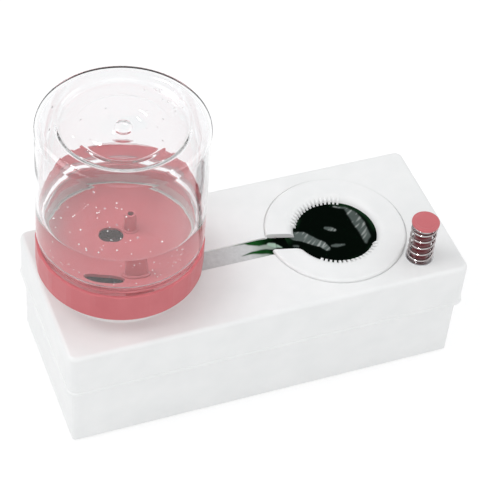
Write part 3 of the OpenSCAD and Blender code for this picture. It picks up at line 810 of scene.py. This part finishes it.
def water_sheet(name, covers, corner, counts, cell, low, level):
    """Thin body of water over a grid of cells (in millimetres), with its tone at each point."""
    bm = bmesh.new()
    tops = {}
    lows = {}

    def point(i, j):
        if (i, j) not in tops:
            x = corner[0] + i * cell
            y = corner[1] + j * cell
            tops[i, j] = bm.verts.new((x * MM, y * MM, level(x, y)))
            lows[i, j] = bm.verts.new((x * MM, y * MM, low))
        return tops[i, j], lows[i, j]

    wet = set()
    for i in range(counts[0]):
        for j in range(counts[1]):
            if covers(corner[0] + (i + 0.5) * cell, corner[1] + (j + 0.5) * cell):
                wet.add((i, j))
    for i, j in sorted(wet):
        ring = [point(i, j), point(i + 1, j), point(i + 1, j + 1), point(i, j + 1)]
        bm.faces.new([top for top, under in ring])
        bm.faces.new([under for top, under in reversed(ring)])
        sides = [((i, j - 1), 0, 1), ((i + 1, j), 1, 2), ((i, j + 1), 2, 3), ((i - 1, j), 3, 0)]
        for other, a, b in sides:
            if other not in wet:
                bm.faces.new((ring[a][0], ring[a][1], ring[b][1], ring[b][0]))
    obj = object_from(name, bm)
    mesh = obj.data
    tone = mesh.color_attributes.new(name="tone", type="FLOAT_COLOR", domain="POINT")
    for i, vertex in enumerate(mesh.vertices):
        tone.data[i].color = (*water_tone(vertex.co.x / MM, vertex.co.y / MM), 1)
    set_material(obj, paint_water)
    return obj


def inlet_place(x, y):
    """Point in the frame of the dish's inlet, from the middle of the dish."""
    dx = x - DISH_X / MM
    dy = y - DISH_Y / MM
    return (
        dx * math.cos(INLET_TURN) - dy * math.sin(INLET_TURN),
        dx * math.sin(INLET_TURN) + dy * math.cos(INLET_TURN) - INLET_OFFSET,
    )


def in_inlet(x, y, low, high):
    """Whether a point lies in the inlet, between two distances from the middle of the dish."""
    along, across = inlet_place(x, y)
    return low < along < high and abs(across) < INLET_HALF


def covers_channel(x, y):
    well = math.hypot(x - JAR_X / MM, y - JAR_Y / MM) < WELL_R
    straight = -45 < x < CHANNEL_END + 0.4 and abs(y - CHANNEL_Y) < CHANNEL_HALF
    return well or straight or in_inlet(x, y, -42, SEAL_FACE)


def covers_dish(x, y):
    bowl = math.hypot(x - DISH_X / MM, y - DISH_Y / MM) < BOWL_WATER_R
    return bowl or in_inlet(x, y, SEAL_FACE + 0.2, -14)


def channel_level(x, y):
    fall = smooth_step(8, 20, x)
    return CHANNEL_WATER_Z + (WATER_Z + INLET_RISE - CHANNEL_WATER_Z) * fall


def dish_level(x, y):
    along = inlet_place(x, y)[0]
    ripple = 0.12 * MM * noise.noise(Vector((x * 0.2, y * 0.2, 2.0)))
    return WATER_Z + INLET_RISE * (1 - smooth_step(-36, -20, along)) + ripple


channel_water = water_sheet(
    "channel_water", covers_channel, (-112, -34), (270, 158), CHANNEL_CELL, CHANNEL_BED_Z,
    channel_level,
)
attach(channel_water, "lid")
dish_water = water_sheet(
    "dish_water", covers_dish, (16, -28), (176, 146), DISH_CELL, INLET_BED_Z, dish_level
)
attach(dish_water, "dish")


# Floor, light and camera


def floor_material():
    """Pale floor that looks white, with the object's shadow, and lights the object plainly."""
    material, shader = new_material("floor")
    shader.inputs["Base Color"].default_value = (0.86, 0.86, 0.86, 1)
    shader.inputs["Roughness"].default_value = 0.9
    shader.inputs["Specular IOR Level"].default_value = 0.1
    seen = node(material, "ShaderNodeBsdfDiffuse")
    seen.inputs["Color"].default_value = (0.36, 0.36, 0.36, 1)
    glow = node(material, "ShaderNodeEmission")
    glow.inputs["Strength"].default_value = 0.7
    both = node(material, "ShaderNodeAddShader")
    link(material, seen.outputs[0], both.inputs[0])
    link(material, glow.outputs[0], both.inputs[1])
    choose_by_ray(material, looking_rays(material), shader, both, "Material Output")
    return material


FLOOR_HALF = 2.5
bm = bmesh.new()
bmesh.ops.create_grid(bm, x_segments=8, y_segments=8, size=FLOOR_HALF)
floor = object_from("floor", bm)
set_material(floor, floor_material())

world = bpy.data.worlds.new("studio")
bpy.context.scene.world = world
world.use_nodes = True
ambient = world.node_tree.nodes["Background"]
ambient.inputs["Color"].default_value = (0.97, 0.985, 1.0, 1)
ambient.inputs["Strength"].default_value = 0.68
backdrop = node(world, "ShaderNodeBackground")
backdrop.inputs["Color"].default_value = (1, 1, 1, 1)
backdrop.inputs["Strength"].default_value = 1.0
choose_by_ray(world, looking_rays(world), ambient, backdrop, "World Output")


def area_light(name, place, target, size, watts, glossy_only=False):
    """Rectangular lamp that points at its target and doesn't show itself."""
    data = bpy.data.lights.new(name, "AREA")
    data.shape = "RECTANGLE"
    data.size = size[0]
    data.size_y = size[1]
    data.energy = watts
    lamp = bpy.data.objects.new(name, data)
    bpy.context.scene.collection.objects.link(lamp)
    lamp.location = place
    lamp.rotation_euler = (Vector(target) - Vector(place)).to_track_quat("-Z", "Y").to_euler()
    lamp.visible_camera = False
    if glossy_only:
        lamp.visible_diffuse = False
        lamp.visible_transmission = False
    return lamp


def only_lights(lamp, pieces):
    """Keeps a lamp's light on the listed pieces."""
    receivers = bpy.data.collections.new(lamp.name)
    for obj in pieces:
        receivers.objects.link(obj)
    lamp.light_linking.receiver_collection = receivers


def glint(name, toward, target, distance, size, watts, lit):
    """Small lamp in a given direction that only the listed pieces reflect."""
    place = Vector(target) + distance * Vector(toward).normalized()
    only_lights(area_light(name, place, target, size, watts, glossy_only=True), lit)


MIDDLE = (0, 0, 0.05)
CAP_MIDDLE = (JAR_X, JAR_Y, 0.1)
SPRING_MIDDLE = (BUTTON_X, BUTTON_Y, 90 * MM)
BASE_SPOT = (-49 * MM, 41 * MM, 186 * MM)
HEEL_SPOT = (-104 * MM, 40 * MM, 186 * MM)
cap_pieces = [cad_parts["jar_cap"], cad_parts["air_tube"]]
button_pieces = [spring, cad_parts["button_stem"]]

area_light("key", (-1.1, 0.35, 1.3), MIDDLE, (1.1, 1.1), 9)
area_light("front_fill", (-0.3, -1.6, 0.8), MIDDLE, (1.8, 1.2), 6.5)
area_light("side_fill", (1.1, -0.1, 1.2), (0.05, 0, 0.05), (1.0, 1.0), 3.5)
cap_fill = area_light("cap_fill", (JAR_X, JAR_Y, 1.3), CAP_MIDDLE, (0.5, 0.5), 2.2)
only_lights(cap_fill, cap_pieces)
glint("base_glint", (0.264, 0.696, 0.673), BASE_SPOT, 1.2, (0.022, 0.016), 0.05, [jar])
glint("heel_glint", (0.16, 0.63, 0.76), HEEL_SPOT, 1.2, (0.05, 0.04), 0.12, [jar])
glint("spring_glint", (-0.58, -0.27, 0.77), SPRING_MIDDLE, 1.4, (0.16, 0.3), 16, button_pieces)

CAMERA_PLACE = (-0.30307, -0.66167, 0.84012)
CAMERA_RIGHT = Vector((0.93544, -0.34715, 0.06662))
CAMERA_DOWN = Vector((-0.20832, -0.69368, -0.6895))
CAMERA_AHEAD = Vector((0.28557, 0.63111, -0.72121))
CAMERA_LENS = 137.86

camera_data = bpy.data.cameras.new("camera")
camera_data.sensor_width = 36
camera_data.lens = CAMERA_LENS
camera_data.clip_start = 0.05
camera_data.clip_end = 20
camera = bpy.data.objects.new("camera", camera_data)
bpy.context.scene.collection.objects.link(camera)
turn = Matrix((CAMERA_RIGHT, -CAMERA_DOWN, -CAMERA_AHEAD)).transposed().to_4x4()
camera.matrix_world = Matrix.Translation(CAMERA_PLACE) @ turn
bpy.context.scene.camera = camera

scene = bpy.context.scene
scene.view_settings.view_transform = "Standard"
scene.cycles.max_bounces = 32
scene.cycles.transmission_bounces = 32
scene.cycles.glossy_bounces = 12
scene.cycles.diffuse_bounces = 6
scene.cycles.transparent_max_bounces = 24
